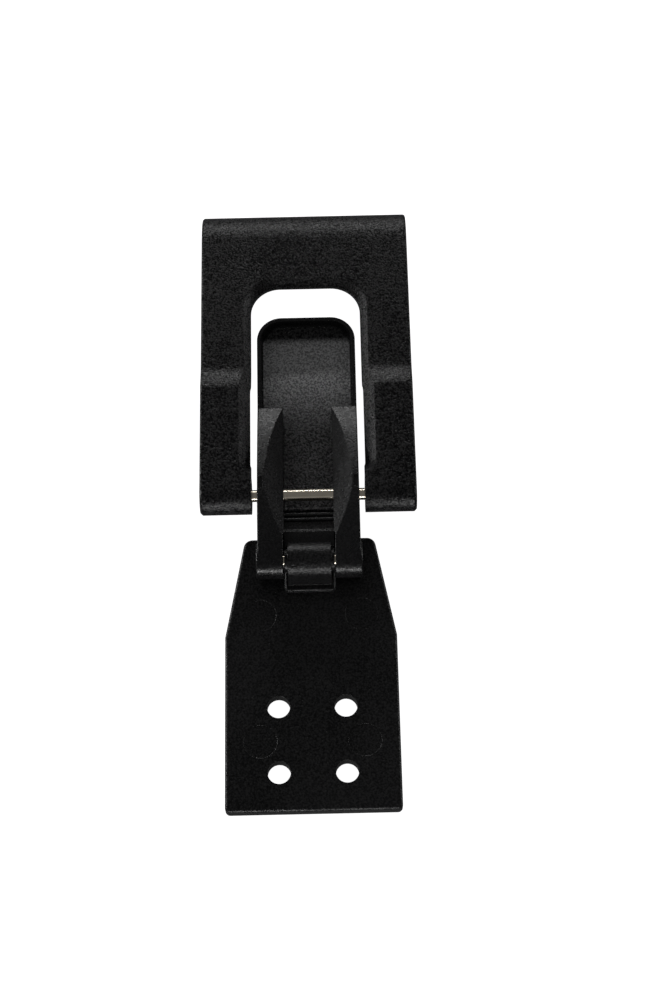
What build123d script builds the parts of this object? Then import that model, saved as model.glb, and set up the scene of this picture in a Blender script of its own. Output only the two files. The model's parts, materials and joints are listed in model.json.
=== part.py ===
from build123d import *
import os
from math import hypot, radians, tan

# Over-centre draw latch in moulded plastic, lying on its back and thrown fully open.
# Millimetres. The origin is the centre of the four mounting holes on the plate's back face.
# +X runs across the latch, +Y towards the hook and +Z out of the mounting surface.

# Fits, and how far a cut runs past what it cuts
pin_clearance = 0.05
pin_end_recess = 0.4
pin_chamfer = 0.3
cut_margin = 1.0

# Base plate
plate_thickness = 4.0
plate_width = 49.4
plate_bottom_y = -20.5
plate_taper_y = 30.8
plate_top_y = 60.9
plate_top_width = 37.8
plate_top_corner = 2.6
plate_bottom_corner = 1.4
plate_edge_round = 1.0
hole_pitch = 19.05
hole_radius = 3.25
ejector_radius = 4.75
ejector_x = 14.7
ejector_rows_y = (-0.5, 37.1)
ejector_depth = 0.12

# Hinge of the lever on the plate
hinge_y = 51.0
hinge_gap_z = 2.0
hinge_pin_radius = 1.75
knuckle_radius = 5.2
hinge_z = plate_thickness + hinge_gap_z + knuckle_radius
knuckle_boss_radius = 3.4
knuckle_boss_length = 0.95
knuckle_side_gap = 0.35
foot_side_gap = 0.3
foot_front = 1.75
foot_back = 0.9
foot_corner = 0.9
foot_height = 1.2
foot_round = 0.6

# Link pin that joins the lever and the hasp
link_reach = 20.0
link_rise = 1.2
link_y = hinge_y + link_reach
link_z = hinge_z + link_rise
link_pin_radius = 1.75

# Lever
lever_width = 29.6
lever_end_y = 130.35
lever_end_corner = 7.4
lever_floor_z = 4.8
lever_back_z = 1.6
lever_back_end_round = 6.0
lever_gap = 14.5
lever_hinge_gap = lever_gap + 0.6
lever_hinge_width = lever_width + 0.9
knuckle_width = lever_hinge_gap - 2 * (knuckle_side_gap + knuckle_boss_length)
foot_width = lever_hinge_gap - 2 * foot_side_gap
lever_rim_z = 9.6
lever_lip_z = 11.2
lever_wall = 1.1
scoop_end_round = 4.0
scoop_side_round = 1.1
lever_edge_round = 0.4
barrel_end_chamfer = 0.3
cheek_start_y = 100.8
cheek_peak_z = 17.5
cheek_peak_y = link_y + 1.0
cheek_ramp = ((0.36, 0.74), (0.74, 0.35))
cheek_flat = 10.0
cheek_lead = 1.0
cheek_dip = 0.1
cheek_bevel_end_y = hinge_y + 3.7
cheek_bevel_end_z = 17.1
cheek_bevel_angle = 30.0
web_gap = 0.8
web_step_height = 1.6
web_step_round = 0.7
web_slope_run = 1.5
web_slope_drop = 1.0
back_slope_lead = 4.0
leg_clearance = 0.8
rib_radius = 0.65
rib_pitch = 1.55
rib_count = 3
rib_offset = 1.5
rim_notch_y = link_y + 2.2
rim_notch_length = 3.8
rim_notch_width = 1.5
rim_notch_depth = 0.8

# Hasp
hasp_width = 62.9
hasp_side_gap = 1.7
hasp_gap = lever_width + 2 * hasp_side_gap
hasp_thickness = 4.6
hasp_barrel_radius = 5.4
joggle_start_y = 104.9
joggle_end_y = 110.6
joggle_drop = 2.0
joggle_round = 6.0
window_end_gap = 9.85
window_top_y = lever_end_y + window_end_gap
window_corner = 8.8
window_bevel_angle = 35.0
window_bevel_depth = 3.0
bevel_low_y = link_y + 8.1
bevel_low_corner = 1.5
hook_y = window_top_y + 15.8
hook_radius = 13.0
hook_wrap = 103.0
hook_tip_round = 1.2
hasp_edge_round = 0.8
hasp_barrel_chamfer = 0.7

os.makedirs("parts", exist_ok=True)


def cross_bore(y, z, radius, length):
    """Cut a round hole across the part being built, centred on x = 0."""
    with Locations(Plane(origin=(0, y, z), x_dir=(0, 1, 0), z_dir=(1, 0, 0))):
        Cylinder(radius, length, mode=Mode.SUBTRACT)


def clear_of_knuckle(edge):
    """True for an edge that isn't on the knuckle's own outline."""
    spot = edge.center()
    return abs(spot.X) > knuckle_width / 2 + 0.1 or abs(spot.Y - hinge_y) > knuckle_radius + 0.1


# ---- base_plate: screw plate with the hinge knuckle moulded on it ----
foot_top_z = plate_thickness + foot_height
foot_length = 2 * knuckle_radius + foot_front + foot_back

with BuildPart() as base_plate:
    with BuildSketch(Plane.XY):
        with BuildLine():
            Polyline(
                (-plate_width / 2, plate_bottom_y),
                (plate_width / 2, plate_bottom_y),
                (plate_width / 2, plate_taper_y),
                (plate_top_width / 2, plate_top_y),
                (-plate_top_width / 2, plate_top_y),
                (-plate_width / 2, plate_taper_y),
                close=True,
            )
        make_face()
        fillet(vertices().group_by(Axis.Y)[-1], plate_top_corner)
        fillet(vertices().group_by(Axis.Y)[0], plate_bottom_corner)
    extrude(amount=plate_thickness)
    fillet(faces().sort_by(Axis.Z)[-1].edges(), plate_edge_round)

    with BuildSketch(Plane.YZ.offset(-knuckle_width / 2)):
        with Locations((hinge_y, hinge_z)):
            Circle(knuckle_radius)
        with Locations((hinge_y, hinge_z)):
            Rectangle(2 * knuckle_radius, hinge_z - plate_thickness / 2, align=(Align.CENTER, Align.MAX))
    extrude(amount=knuckle_width)

    # Low foot round the knuckle, and a boss on each side that reaches towards the lever.
    with BuildSketch(Plane.XY):
        with Locations((0, hinge_y + (foot_back - foot_front) / 2)):
            RectangleRounded(foot_width, foot_length, foot_corner)
    extrude(amount=plate_thickness + foot_height)
    foot_rim = (
        edges()
        .filter_by_position(Axis.Z, foot_top_z - 0.01, foot_top_z + 0.01)
        .filter_by(clear_of_knuckle)
    )
    fillet(foot_rim, foot_round)

    with BuildSketch(Plane.YZ):
        with Locations((hinge_y, hinge_z)):
            Circle(knuckle_boss_radius)
    extrude(amount=lever_hinge_gap / 2 - knuckle_side_gap, both=True)
    cross_bore(hinge_y, hinge_z, hinge_pin_radius + pin_clearance, lever_hinge_gap + cut_margin)

    with BuildSketch(Plane.XY):
        with GridLocations(hole_pitch, hole_pitch, 2, 2):
            Circle(hole_radius)
    extrude(amount=plate_thickness, mode=Mode.SUBTRACT)

    with BuildSketch(Plane.XY.offset(plate_thickness)):
        for row_y in ejector_rows_y:
            with Locations((-ejector_x, row_y), (ejector_x, row_y)):
                Circle(ejector_radius)
    extrude(amount=-ejector_depth, mode=Mode.SUBTRACT)

base_plate.part.label = "base_plate"
export_step(base_plate.part, "parts/base_plate.step")


# ---- hinge_pin: steel pin through the knuckle and the lever's two barrels ----
with BuildPart() as hinge_pin:
    with BuildSketch(Plane.YZ):
        with Locations((hinge_y, hinge_z)):
            Circle(hinge_pin_radius)
    extrude(amount=lever_hinge_width / 2 - pin_end_recess, both=True)
    chamfer(edges().filter_by(GeomType.CIRCLE), pin_chamfer)

hinge_pin.part.label = "hinge_pin"
export_step(hinge_pin.part, "parts/hinge_pin.step")


# ---- link_pin: steel pin through the lever's cheeks and the hasp's two barrels ----
with BuildPart() as link_pin:
    with BuildSketch(Plane.YZ):
        with Locations((link_y, link_z)):
            Circle(link_pin_radius)
    extrude(amount=hasp_width / 2 - pin_end_recess, both=True)
    chamfer(edges().filter_by(GeomType.CIRCLE), pin_chamfer)

link_pin.part.label = "link_pin"
export_step(link_pin.part, "parts/link_pin.step")


# ---- lever: scooped handle with two arched cheeks that carry both pins ----
leg_under_z = plate_thickness + leg_clearance
leg_bottom_z = hinge_z - knuckle_radius
web_step_z = leg_under_z + web_step_height
bevel_run = cheek_start_y - cheek_bevel_end_y
bevel_climb = cheek_bevel_end_z - lever_rim_z
bevel_length = hypot(bevel_run, bevel_climb)
bevel_plane = Plane(
    origin=(0, cheek_start_y, lever_rim_z),
    x_dir=(1, 0, 0),
    z_dir=(0, -bevel_run / bevel_length, bevel_climb / bevel_length),
)
bevel_reach = lever_width / 2 - lever_gap / 2 + cut_margin
bevel_inner_x = lever_gap / 2
bevel_outer_x = bevel_inner_x + bevel_reach
scoop_width = lever_width - 2 * lever_wall
scoop_end_y = lever_end_y - lever_wall
scoop_height = cheek_peak_z
web_end_y = hinge_y + knuckle_radius + foot_back + knuckle_side_gap
web_drop_y = plate_top_y + web_gap
ramp_points = [
    (
        cheek_peak_y + along * (cheek_start_y - cheek_peak_y),
        lever_rim_z + up * (cheek_peak_z - lever_rim_z),
    )
    for along, up in cheek_ramp
]

# Hollow of the handle, with a floor that curves up to a thin rim.
with BuildPart() as scoop_void:
    with BuildSketch(Plane.XY.offset(lever_floor_z)):
        with Locations((0, cheek_start_y)):
            Rectangle(scoop_width, scoop_end_y - cheek_start_y, align=(Align.CENTER, Align.MIN))
        fillet(vertices().group_by(Axis.Y)[-1], lever_end_corner - lever_wall)
    extrude(amount=scoop_height)
    with BuildSketch(Plane.YZ):
        with Locations((cheek_start_y, lever_floor_z)):
            Rectangle(scoop_end_y - cheek_start_y, scoop_height, align=(Align.MIN, Align.MIN))
        fillet(vertices().group_by(Axis.X)[-1].sort_by(Axis.Y)[0], scoop_end_round)
    extrude(amount=scoop_width, both=True, mode=Mode.INTERSECT)
    with BuildSketch(Plane.XZ.offset(-scoop_end_y)):
        with Locations((0, lever_floor_z)):
            Rectangle(scoop_width, scoop_height, align=(Align.CENTER, Align.MIN))
        fillet(vertices().group_by(Axis.Y)[0], scoop_side_round)
    extrude(amount=scoop_end_y, mode=Mode.INTERSECT)

with BuildPart() as lever:
    # Side outline of the cheeks and handle, over the full width.
    with BuildSketch(Plane.YZ):
        with BuildLine():
            arch = Spline(
                (hinge_y - cheek_lead, hinge_z + knuckle_radius - cheek_dip),
                (hinge_y + cheek_flat, cheek_peak_z),
                (cheek_peak_y, cheek_peak_z),
                *ramp_points,
                (cheek_start_y, lever_rim_z),
            )
            Polyline(
                arch @ 1,
                (lever_end_y, lever_lip_z),
                (lever_end_y, lever_back_z),
                (link_y - back_slope_lead, lever_back_z),
                (web_drop_y, leg_under_z - web_slope_drop),
                (web_drop_y - web_slope_run, leg_under_z),
                (hinge_y, leg_bottom_z),
                (hinge_y, hinge_z),
                arch @ 0,
            )
        make_face()
    extrude(amount=lever_width / 2, both=True)
    back_end = edges().filter_by(Axis.X).group_by(Axis.Y)[-1].sort_by(Axis.Z)[0]
    fillet(back_end, lever_back_end_round)
    fillet(edges().filter_by(Axis.Z).group_by(Axis.Y)[-1], lever_end_corner)

    outer_edges = edges().filter_by(lambda edge: abs(edge.center().X) > lever_width / 2 - 0.01)
    fillet(outer_edges.filter_by(GeomType.BSPLINE), lever_edge_round)

    # Barrels round the hinge pin, a little wider than the legs.
    with BuildSketch(Plane.XY.offset(hinge_z)):
        with Locations((0, hinge_y)):
            Rectangle(lever_hinge_width, knuckle_radius, align=(Align.CENTER, Align.MIN))
        chamfer(vertices().group_by(Axis.Y)[-1], barrel_end_chamfer)
    revolve(axis=Axis((0, hinge_y, hinge_z), (1, 0, 0)))

    add(scoop_void.part, mode=Mode.SUBTRACT)

    # Slot between the cheeks, stepped up where it passes over the plate's edge,
    # and the wider slot that takes the knuckle.
    with BuildSketch(Plane.YZ):
        with BuildLine():
            Polyline(
                (cheek_start_y + lever_wall, lever_floor_z),
                (web_drop_y + 2 * web_step_round, lever_floor_z),
                (web_drop_y + web_step_round, web_step_z),
                (hinge_y, web_step_z),
                (hinge_y, lever_floor_z + scoop_height),
                (cheek_start_y + lever_wall, lever_floor_z + scoop_height),
                close=True,
            )
        make_face()
        step_corners = vertices().filter_by_position(Axis.X, web_drop_y, web_drop_y + 3 * web_step_round)
        fillet(step_corners, web_step_round)
    extrude(amount=lever_gap / 2, both=True, mode=Mode.SUBTRACT)
    with BuildSketch(Plane.XY):
        with Locations((0, web_end_y)):
            Rectangle(
                lever_hinge_gap,
                web_end_y - hinge_y + 2 * knuckle_radius,
                align=(Align.CENTER, Align.MAX),
            )
    extrude(amount=hinge_z + 3 * knuckle_radius, mode=Mode.SUBTRACT)

    # Long bevel on the inner side of each arched cheek.
    with BuildSketch(bevel_plane):
        with BuildLine():
            Polyline(
                (bevel_inner_x - cut_margin, 0),
                (bevel_inner_x, 0),
                (bevel_outer_x, bevel_reach * tan(radians(cheek_bevel_angle))),
                (bevel_outer_x, cheek_peak_z),
                (bevel_inner_x - cut_margin, cheek_peak_z),
                close=True,
            )
        make_face()
        mirror(about=Plane.YZ)
    extrude(amount=bevel_length, mode=Mode.SUBTRACT)

    # Ribs across the web under the link pin.
    with BuildSketch(Plane.YZ):
        for rib in range(rib_count):
            with Locations((link_y - rib_offset - rib * rib_pitch, lever_floor_z)):
                Circle(rib_radius)
    extrude(amount=lever_gap / 2 + rib_radius, both=True)

    # Small notch in the outer edge of each cheek, above the end of the link pin.
    with BuildSketch(Plane.XY.offset(cheek_peak_z - rim_notch_depth)):
        with Locations((-lever_width / 2, rim_notch_y), (lever_width / 2, rim_notch_y)):
            Rectangle(2 * rim_notch_width, rim_notch_length)
    extrude(amount=cheek_peak_z, mode=Mode.SUBTRACT)

    cross_bore(hinge_y, hinge_z, hinge_pin_radius + pin_clearance, lever_hinge_width + cut_margin)
    cross_bore(link_y, link_z, link_pin_radius + pin_clearance, lever_width + cut_margin)

lever.part.label = "lever"
export_step(lever.part, "parts/lever.step")


# ---- hasp: U-shaped loop with a rolled hook ----
leg_top_z = link_z + hasp_barrel_radius
main_top_z = leg_top_z - joggle_drop
hook_z = main_top_z - hook_radius
bevel_bottom_z = main_top_z - window_bevel_depth
bevel_height = leg_top_z + cut_margin - bevel_bottom_z
bevel_spread = bevel_height * tan(radians(window_bevel_angle))
window_low_y = link_y - 2 * hasp_barrel_radius

with BuildPart() as hasp:
    # Side outline: legs, joggle, crossbar and hook.
    with BuildSketch(Plane.YZ):
        with BuildLine():
            outer = CenterArc((hook_y, hook_z), hook_radius, 90, -hook_wrap)
            inner = CenterArc((hook_y, hook_z), hook_radius - hasp_thickness, 90, -hook_wrap)
            Line(outer @ 1, inner @ 1)
            Polyline(
                inner @ 0,
                (joggle_end_y, main_top_z - hasp_thickness),
                (joggle_start_y, leg_top_z - hasp_thickness),
                (link_y, leg_top_z - hasp_thickness),
                (link_y, leg_top_z),
                (joggle_start_y, leg_top_z),
                (joggle_end_y, main_top_z),
                outer @ 0,
            )
        make_face()
        fillet(vertices().sort_by(Axis.Y)[:2], hook_tip_round)
        joggle_corners = vertices().filter_by_position(Axis.X, joggle_start_y - 0.1, joggle_end_y + 0.1)
        fillet(joggle_corners, joggle_round)
    extrude(amount=hasp_width / 2, both=True)
    fillet(faces().sort_by(Axis.X)[0].edges() + faces().sort_by(Axis.X)[-1].edges(), hasp_edge_round)

    # Barrels round the link pin.
    with BuildSketch(Plane.XY.offset(link_z)):
        with Locations((0, link_y)):
            Rectangle(hasp_width, hasp_barrel_radius, align=(Align.CENTER, Align.MIN))
        chamfer(vertices().group_by(Axis.Y)[-1], hasp_barrel_chamfer)
    revolve(axis=Axis((0, link_y, link_z), (1, 0, 0)))

    # Window that the lever lies in, open between the barrels.
    with BuildSketch(Plane.XY.offset(hook_z - hook_radius)):
        with Locations((0, window_low_y)):
            Rectangle(hasp_gap, window_top_y - window_low_y, align=(Align.CENTER, Align.MIN))
        fillet(vertices().group_by(Axis.Y)[-1], window_corner)
    extrude(amount=3 * hook_radius, mode=Mode.SUBTRACT)

    # Sloping bevel round the window, from half its depth up to the face.
    with BuildSketch(Plane.XY.offset(bevel_bottom_z)):
        with Locations((0, bevel_low_y)):
            Rectangle(hasp_gap, window_top_y - bevel_low_y, align=(Align.CENTER, Align.MIN))
        fillet(vertices().group_by(Axis.Y)[-1], window_corner)
        fillet(vertices().group_by(Axis.Y)[0], bevel_low_corner)
    with BuildSketch(Plane.XY.offset(bevel_bottom_z + bevel_height)):
        with Locations((0, bevel_low_y - bevel_spread)):
            Rectangle(
                hasp_gap + 2 * bevel_spread,
                window_top_y - bevel_low_y + 2 * bevel_spread,
                align=(Align.CENTER, Align.MIN),
            )
        fillet(vertices().group_by(Axis.Y)[-1], window_corner + bevel_spread)
        fillet(vertices().group_by(Axis.Y)[0], bevel_low_corner + bevel_spread)
    loft(ruled=True, mode=Mode.SUBTRACT)

    cross_bore(link_y, link_z, link_pin_radius + pin_clearance, hasp_width + cut_margin)

hasp.part.label = "hasp"
export_step(hasp.part, "parts/hasp.step")
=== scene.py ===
import json
import math

import bpy
from mathutils import Matrix, Vector


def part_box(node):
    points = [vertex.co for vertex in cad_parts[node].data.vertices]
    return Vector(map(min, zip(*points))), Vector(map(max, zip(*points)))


# An over-centre draw latch in black moulded plastic, lying on its back and thrown fully open.
# Metres, in the CAD frame: +X across the latch, +Y towards the hook, +Z out of the plate.

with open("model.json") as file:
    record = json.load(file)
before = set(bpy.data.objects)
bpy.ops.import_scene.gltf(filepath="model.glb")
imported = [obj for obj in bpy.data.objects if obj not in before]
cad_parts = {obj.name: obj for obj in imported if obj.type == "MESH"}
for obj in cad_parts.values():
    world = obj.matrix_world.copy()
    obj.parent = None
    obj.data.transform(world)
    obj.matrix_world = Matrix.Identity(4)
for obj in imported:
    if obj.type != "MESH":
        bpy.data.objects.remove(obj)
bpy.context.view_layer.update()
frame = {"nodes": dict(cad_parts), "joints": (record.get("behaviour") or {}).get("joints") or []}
nodes = frame["nodes"]
joints = {joint["name"]: Vector(joint["pos_m"]) for joint in frame["joints"]}
hinge = joints["lever_hinge"]
mm = 0.001


# ---- small helpers for node materials ----
class Nodes:
    """A material's node tree, with one short call for each kind of node."""

    def __init__(self, name):
        self.material = bpy.data.materials.new(name)
        self.material.use_nodes = True
        self.tree = self.material.node_tree
        self.shader = self.tree.nodes["Principled BSDF"]
        coordinates = self.tree.nodes.new("ShaderNodeTexCoord")
        self.place = coordinates.outputs["Object"]

    def link(self, source, target):
        self.tree.links.new(source, target)

    def add(self, kind, inputs=None, **settings):
        node = self.tree.nodes.new(kind)
        for key, value in settings.items():
            setattr(node, key, value)
        for key, value in (inputs or {}).items():
            if isinstance(value, bpy.types.NodeSocket):
                self.link(value, node.inputs[key])
            else:
                node.inputs[key].default_value = value
        return node

    def noise(self, size, detail=2.0, roughness=0.5, place=None):
        """Noise whose lumps are about `size` metres across."""
        node = self.add(
            "ShaderNodeTexNoise",
            {"Vector": place or self.place, "Scale": 1 / size, "Detail": detail, "Roughness": roughness},
        )
        return node.outputs["Fac"]

    def stretched(self, scale):
        """Object coordinates scaled by three numbers, to draw a texture out along an axis."""
        node = self.add("ShaderNodeVectorMath", {0: self.place, 1: scale}, operation="MULTIPLY")
        return node.outputs[0]

    def math(self, operation, a, b=0.0, clamp=False):
        return self.add("ShaderNodeMath", {0: a, 1: b}, operation=operation, use_clamp=clamp).outputs[0]

    def ramp(self, value, low, high, to_low=0.0, to_high=1.0):
        """Map a value from low..high to to_low..to_high, smoothly and held at both ends."""
        node = self.add(
            "ShaderNodeMapRange",
            {"Value": value, "From Min": low, "From Max": high, "To Min": to_low, "To Max": to_high},
            interpolation_type="SMOOTHSTEP",
        )
        return node.outputs["Result"]

    def mix_colour(self, factor, a, b):
        """Blend two colours, each of them three numbers or another node's output."""
        node = self.add("ShaderNodeMix", data_type="RGBA")
        sockets = {socket.identifier: socket for socket in node.inputs}
        self.link(factor, sockets["Factor_Float"])
        for key, colour in (("A_Color", a), ("B_Color", b)):
            if isinstance(colour, bpy.types.NodeSocket):
                self.link(colour, sockets[key])
            else:
                sockets[key].default_value = (*colour, 1)
        return next(socket for socket in node.outputs if socket.identifier == "Result_Color")

    def axis(self, index):
        return self.add("ShaderNodeSeparateXYZ", {"Vector": self.place}).outputs[index]

    def facing(self, index):
        """One part of the surface's own direction, in the node's frame."""
        geometry = self.add("ShaderNodeTexCoord")
        return self.add("ShaderNodeSeparateXYZ", {"Vector": geometry.outputs["Normal"]}).outputs[index]

    def bump(self, height, distance, strength=1.0, normal=None):
        inputs = {"Height": height, "Distance": distance, "Strength": strength}
        if normal is not None:
            inputs["Normal"] = normal
        return self.add("ShaderNodeBump", inputs).outputs["Normal"]


# ---- materials: sizes in metres, heights and places along the latch in the CAD frame ----
X, Y, Z = 0, 1, 2
grain_size = 0.55 * mm
pit_size = 1.1 * mm
flow_size = 20 * mm
edge_wear = 0.3 * mm

black_dark = (0.0012, 0.0012, 0.0016)
black_light = (0.0100, 0.0099, 0.0105)
black_specular = 0.36
black_roughness = (0.28, 0.34)
pit_roughness = (-0.05, 0.07)
polish_roughness = -0.05
polished_share = 0.2

# Painted sheen on the lever's scoop floor: a pale colour mixed into the black stands in for light off the
# grain, strongest towards the lip. The finish there is also rougher, and that part is real.
painted_sheen_colour = (0.62, 0.62, 0.63)
sheen_patch_extra_roughness = 0.16
painted_sheen_least = 0.05
painted_sheen_starts_y = 92 * mm
painted_sheen_full_y = 122 * mm
painted_sheen_fades_y = 124.5 * mm
painted_sheen_ends_y = 127 * mm
scoop_floor_z = (5.0 * mm, 6.8 * mm)
scoop_floor_facing = (0.8, 0.97)

polished_above_z = (6.2 * mm, 8.5 * mm)
ribs_before_y = (67.5 * mm, 69.5 * mm)

steel_dark = (0.72, 0.64, 0.52)
steel_light = (0.86, 0.79, 0.67)
steel_roughness = (0.16, 0.26)


def black_plastic(name, grain, glints, smooth=None, painted_sheen=None):
    """Black plastic with a moulded grain, faint flow marks, small changes of sheen and worn edges, and where
    asked a painted sheen.

    grain is the height of the grain, and glints is how far its reflections swing from grain to grain.
    smooth(m) gives 1 where the mould was polished. The last mask gives 1 where the finish is rougher and
    where a painted sheen, a pale colour standing in for light off the grain, is mixed in.
    """
    m = Nodes(name)
    fine = m.noise(grain_size, detail=2, roughness=0.6)
    pits = m.noise(pit_size, detail=2)
    height = m.math("ADD", fine, m.math("MULTIPLY", pits, 0.6))
    glint = m.ramp(fine, 0.35, 0.65, -glints, glints)
    polish = 0.0
    if smooth is not None:
        grain_share = m.ramp(smooth(m), 0.0, 1.0, 1.0, polished_share)
        height = m.math("MULTIPLY", height, grain_share)
        glint = m.math("MULTIPLY", glint, grain_share)
        polish = m.ramp(grain_share, polished_share, 1.0, polish_roughness, 0.0)
    flow = m.noise(flow_size, detail=3, place=m.stretched((1.0, 0.4, 1.0)))
    sheen = m.math("ADD", m.ramp(flow, 0.3, 0.7, *black_roughness), m.ramp(pits, 0.3, 0.7, *pit_roughness))
    sheen = m.math("ADD", sheen, polish)
    shade = m.ramp(m.math("ADD", flow, fine), 0.7, 1.3)
    colour = m.mix_colour(shade, black_dark, black_light)
    # Painted sheen: a pale colour, speckled by the grain, is mixed in where the mask gives 1 and stands in
    # for light off the scoop floor. The roughness rise there is real.
    if painted_sheen is not None:
        painted_sheen_amount = painted_sheen(m)
        speckled_painted_sheen = m.math("MULTIPLY", painted_sheen_amount, m.ramp(fine, 0.35, 0.65, 0.35, 1.0))
        colour = m.mix_colour(speckled_painted_sheen, colour, painted_sheen_colour)
        sheen = m.math("ADD", sheen, m.math("MULTIPLY", painted_sheen_amount, sheen_patch_extra_roughness))
    worn = m.add("ShaderNodeBevel", {"Radius": edge_wear}, samples=6).outputs["Normal"]
    m.link(m.bump(height, grain, normal=worn), m.shader.inputs["Normal"])
    m.link(colour, m.shader.inputs["Base Color"])
    m.link(sheen, m.shader.inputs["Roughness"])
    m.link(m.math("ADD", glint, black_specular), m.shader.inputs["Specular IOR Level"])
    return m.material


def lever_polish(m):
    """1 on what stands above the scoop's floor, the cheeks and rim, and on all from the ribs to the hinge."""
    raised = m.ramp(m.axis(Z), *polished_above_z)
    by_the_hinge = m.ramp(m.axis(Y), *ribs_before_y, 1.0, 0.0)
    return m.math("MAXIMUM", raised, by_the_hinge)


def scoop_painted_sheen(m):
    """Mask of the painted sheen: up to 1 on the floor of the scoop, strongest towards the lip and gone before
    the lip's own curve.
    """
    low = m.ramp(m.axis(Z), *scoop_floor_z, 1.0, 0.0)
    floor = m.math("MULTIPLY", low, m.ramp(m.facing(Z), *scoop_floor_facing))
    growing = m.ramp(m.axis(Y), painted_sheen_starts_y, painted_sheen_full_y, painted_sheen_least, 1.0)
    fading = m.ramp(m.axis(Y), painted_sheen_fades_y, painted_sheen_ends_y, 1.0, 0.0)
    return m.math("MULTIPLY", floor, m.math("MULTIPLY", growing, fading))


def steel():
    """Ground steel pin: fine turning lines round the pin, slightly warm, a little uneven."""
    m = Nodes("ground_steel")
    lines = m.noise(1.2 * mm, detail=3, place=m.stretched((8.0, 1.0, 1.0)))
    m.link(m.bump(lines, 0.006 * mm), m.shader.inputs["Normal"])
    m.link(m.ramp(lines, 0.3, 0.7, *steel_roughness), m.shader.inputs["Roughness"])
    patches = m.noise(3 * mm, detail=2)
    m.link(m.mix_colour(patches, steel_dark, steel_light), m.shader.inputs["Base Color"])
    m.shader.inputs["Metallic"].default_value = 1.0
    return m.material


def give(node_name, material):
    mesh = nodes[node_name].data
    mesh.materials.clear()
    mesh.materials.append(material)


give("base_plate", black_plastic("plate_plastic", grain=0.12 * mm, glints=0.15))
give("hasp", black_plastic("hasp_plastic", grain=0.17 * mm, glints=0.3))
# The lever's scoop floor carries the painted sheen, a pale colour standing in for light off the grain.
give(
    "lever",
    black_plastic("lever_plastic", grain=0.3 * mm, glints=0.3, smooth=lever_polish, painted_sheen=scoop_painted_sheen),
)
pin_steel = steel()
give("hinge_pin", pin_steel)
give("link_pin", pin_steel)


# ---- floor, light and camera ----
def make_floor():
    """A white floor that glows, so that it shows pure white, and stays out of the latch's reflections."""
    size = 20.0
    mesh = bpy.data.meshes.new("floor")
    corners = [(-size, -size, 0), (size, -size, 0), (size, size, 0), (-size, size, 0)]
    mesh.from_pydata([Vector(corner) for corner in corners], [], [(0, 1, 2, 3)])
    floor = bpy.data.objects.new("floor", mesh)
    bpy.context.scene.collection.objects.link(floor)
    m = Nodes("white_sweep")
    tone = m.noise(0.5, detail=1)
    m.link(m.mix_colour(tone, (0.90, 0.90, 0.90), (0.93, 0.93, 0.93)), m.shader.inputs["Base Color"])
    m.shader.inputs["Roughness"].default_value = 0.9
    m.shader.inputs["Emission Color"].default_value = (1, 1, 1, 1)
    m.shader.inputs["Emission Strength"].default_value = 1.0
    mesh.materials.append(m.material)
    floor.visible_glossy = False


def area_light(name, toward, distance, size, power, target):
    """A soft box that stands `distance` from the target along a direction, and faces it."""
    data = bpy.data.lights.new(name, "AREA")
    data.shape = "RECTANGLE"
    data.size, data.size_y = size
    data.energy = power
    lamp = bpy.data.objects.new(name, data)
    direction = Vector(toward).normalized()
    lamp.location = target + direction * distance
    lamp.rotation_euler = direction.to_track_quat("Z", "Y").to_euler()
    bpy.context.scene.collection.objects.link(lamp)
    return lamp


def rising(azimuth, elevation):
    """Unit direction at an azimuth from +Y towards +X, and a height above the floor, in degrees."""
    a, e = math.radians(azimuth), math.radians(elevation)
    return Vector((math.sin(a) * math.cos(e), math.cos(a) * math.cos(e), math.sin(e)))


def make_lights(target):
    """Low strips on all four sides: (name, azimuth, elevation, width and height in metres, watts)."""
    reach = 0.9
    strips = (
        ("near_box", 187, 1, (0.9, 0.08), 4.2),
        ("far_box", 355, 22, (0.9, 0.05), 2.0),
        ("left_box", 290, 5, (0.55, 0.08), 2.4),
        ("right_box", 70, 5, (0.55, 0.08), 1.2),
    )
    for name, azimuth, elevation, size, power in strips:
        area_light(name, rising(azimuth, elevation), reach, size, power, target)


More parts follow.
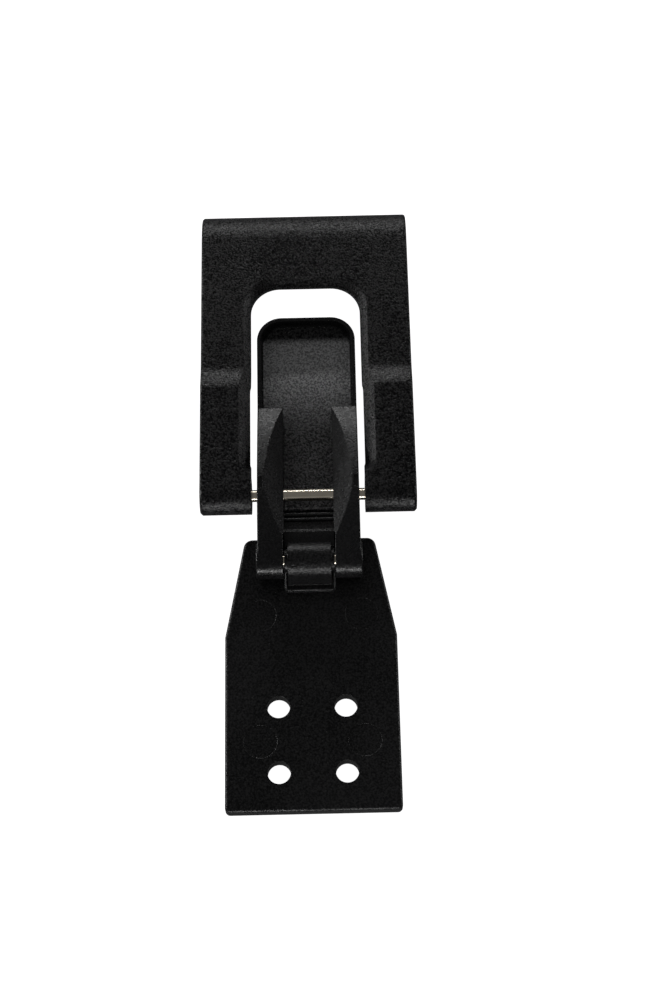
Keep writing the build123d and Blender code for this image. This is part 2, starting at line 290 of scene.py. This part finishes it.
def make_world():
    """A dim studio: darker overhead, a paler band above the horizon, dark below, brighter on the left."""
    world = bpy.data.worlds.new("studio")
    bpy.context.scene.world = world
    world.use_nodes = True
    tree = world.node_tree
    place = tree.nodes.new("ShaderNodeTexCoord")
    split = tree.nodes.new("ShaderNodeSeparateXYZ")
    tree.links.new(place.outputs["Generated"], split.inputs[0])

    def band(axis, edges):
        """A smooth step along one axis: (value at low, value at high, low, high)."""
        node = tree.nodes.new("ShaderNodeMapRange")
        node.interpolation_type = "SMOOTHSTEP"
        for key, value in zip(("To Min", "To Max", "From Min", "From Max"), edges):
            node.inputs[key].default_value = value
        tree.links.new(split.outputs[axis], node.inputs["Value"])
        return node.outputs["Result"]

    def combine(operation, a, b):
        node = tree.nodes.new("ShaderNodeMath")
        node.operation = operation
        tree.links.new(a, node.inputs[0])
        tree.links.new(b, node.inputs[1])
        return node.outputs[0]

    overhead = band("Z", (1.0, 0.5, 0.15, 0.75))
    below = band("Z", (0.08, 0.24, -0.15, 0.1))
    left = band("X", (1.5, 0.6, -0.9, 0.9))
    strength = combine("MULTIPLY", combine("MULTIPLY", below, overhead), left)
    tree.links.new(strength, tree.nodes["Background"].inputs["Strength"])
    tree.nodes["Background"].inputs["Color"].default_value = (1, 1, 1, 1)


def make_camera():
    """Long lens over the plate's end, looking down at the latch. Returns the point it looks at."""
    tilt = math.radians(23.5)
    roll = math.radians(-1.25)
    distance = 0.576
    focal_share = 1.95
    plate_thickness = 4 * mm
    side_shift = 6.7 * mm
    past_hinge = 21.9 * mm
    target = Vector((side_shift, hinge.y + past_hinge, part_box("base_plate")[0].z + plate_thickness))
    view = Vector((0, -math.sin(tilt), math.cos(tilt)))
    camera_data = bpy.data.cameras.new("camera")
    camera_data.sensor_fit = "VERTICAL"
    camera_data.sensor_height = 36.0
    camera_data.lens = 36.0 * focal_share
    camera_data.clip_start = 0.01
    camera = bpy.data.objects.new("camera", camera_data)
    turn = view.to_track_quat("Z", "Y").to_matrix().to_4x4()
    camera.matrix_world = Matrix.Translation(target + view * distance) @ turn @ Matrix.Rotation(roll, 4, "Z")
    bpy.context.scene.collection.objects.link(camera)
    bpy.context.scene.camera = camera
    return target


make_floor()
make_world()
target = make_camera()
make_lights(target)
bpy.context.scene.view_settings.view_transform = "Standard"
